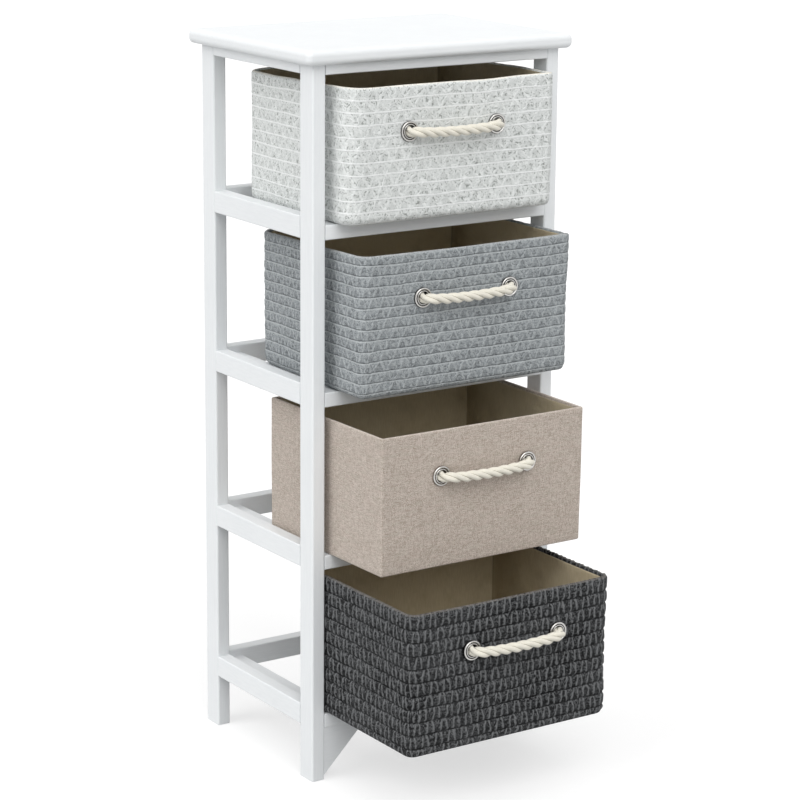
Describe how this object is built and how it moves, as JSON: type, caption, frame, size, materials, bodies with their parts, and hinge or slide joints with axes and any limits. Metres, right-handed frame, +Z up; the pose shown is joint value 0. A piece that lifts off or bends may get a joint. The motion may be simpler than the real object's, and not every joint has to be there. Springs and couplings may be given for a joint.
{
  "type": "storage tower with baskets",
  "caption": "Narrow painted wooden tower frame with a top board, carrying lined woven and linen baskets that slide out to the front by rope handles.",
  "frame": {"origin": "on the floor, in the middle of the width and of the overall depth of the tower as it stands with its baskets pulled out, measured without the rope handles", "axes": "+Z up, -Y to the front, where the baskets slide out, and +X to the right when seen from the front"},
  "size_m": [0.34, 0.4221, 0.8],
  "materials": {
    "white_paint": "white satin paint",
    "beech": "bare",
    "zinc_steel": "zinc plated",
    "white_braid": "braided cord, sewn in rows",
    "grey_braid": "braided cord, sewn in rows",
    "linen_cloth": "linen cloth over board",
    "charcoal_braid": "thick braided cord, sewn in rows",
    "lining": "plain woven cotton",
    "pulp_board": "grey board",
    "nickel": "nickel plated",
    "cotton_rope": "twisted cotton"
  },
  "bodies": {
    "frame": {"top_board": "white_paint", "front_left_leg": "white_paint", "front_right_leg": "white_paint", "back_left_leg": "white_paint", "back_right_leg": "white_paint", "left_side_rail_top": "white_paint", "right_side_rail_top": "white_paint", "left_side_rail_1": "white_paint", "left_side_rail_2": "white_paint", "left_side_rail_3": "white_paint", "left_side_rail_4": "white_paint", "right_side_rail_1": "white_paint", "right_side_rail_2": "white_paint", "right_side_rail_3": "white_paint", "right_side_rail_4": "white_paint", "front_rail_top": "white_paint", "back_rail_top": "white_paint", "front_rail_1": "white_paint", "front_rail_2": "white_paint", "front_rail_3": "white_paint", "front_rail_4": "white_paint", "back_rail_1": "white_paint", "back_rail_2": "white_paint", "back_rail_3": "white_paint", "back_rail_4": "white_paint", "left_runners": "white_paint", "right_runners": "white_paint", "left_corner_brace": "white_paint", "right_corner_brace": "white_paint", "rail_dowels": "beech", "board_screws": "zinc_steel"},
    "white_basket": {"white_shell": "white_braid", "white_liner": "lining", "white_base_board": "pulp_board", "white_eyelets": "nickel", "white_eyelet_washers": "nickel", "white_rope_handle": "cotton_rope", "white_rope_knots": "cotton_rope"},
    "grey_basket": {"grey_shell": "grey_braid", "grey_liner": "lining", "grey_base_board": "pulp_board", "grey_eyelets": "nickel", "grey_eyelet_washers": "nickel", "grey_rope_handle": "cotton_rope", "grey_rope_knots": "cotton_rope"},
    "linen_basket": {"linen_shell": "linen_cloth", "linen_liner": "lining", "linen_base_board": "pulp_board", "linen_eyelets": "nickel", "linen_eyelet_washers": "nickel", "linen_rope_handle": "cotton_rope", "linen_rope_knots": "cotton_rope"},
    "charcoal_basket": {"charcoal_shell": "charcoal_braid", "charcoal_liner": "lining", "charcoal_base_board": "pulp_board", "charcoal_eyelets": "nickel", "charcoal_eyelet_washers": "nickel", "charcoal_rope_handle": "cotton_rope", "charcoal_rope_knots": "cotton_rope"}
  },
  "joints": [
    {"name": "white_basket_slide", "type": "slide", "parent": "frame", "child": "white_basket", "axis": [0, -1, 0], "range_m": [-0.0245, 0.165]},
    {"name": "grey_basket_slide", "type": "slide", "parent": "frame", "child": "grey_basket", "axis": [0, -1, 0], "range_m": [-0.0495, 0.14]},
    {"name": "linen_basket_slide", "type": "slide", "parent": "frame", "child": "linen_basket", "axis": [0, -1, 0], "range_m": [-0.0945, 0.095]},
    {"name": "charcoal_basket_slide", "type": "slide", "parent": "frame", "child": "charcoal_basket", "axis": [0, -1, 0], "range_m": [-0.1605, 0.029]}
  ]
}
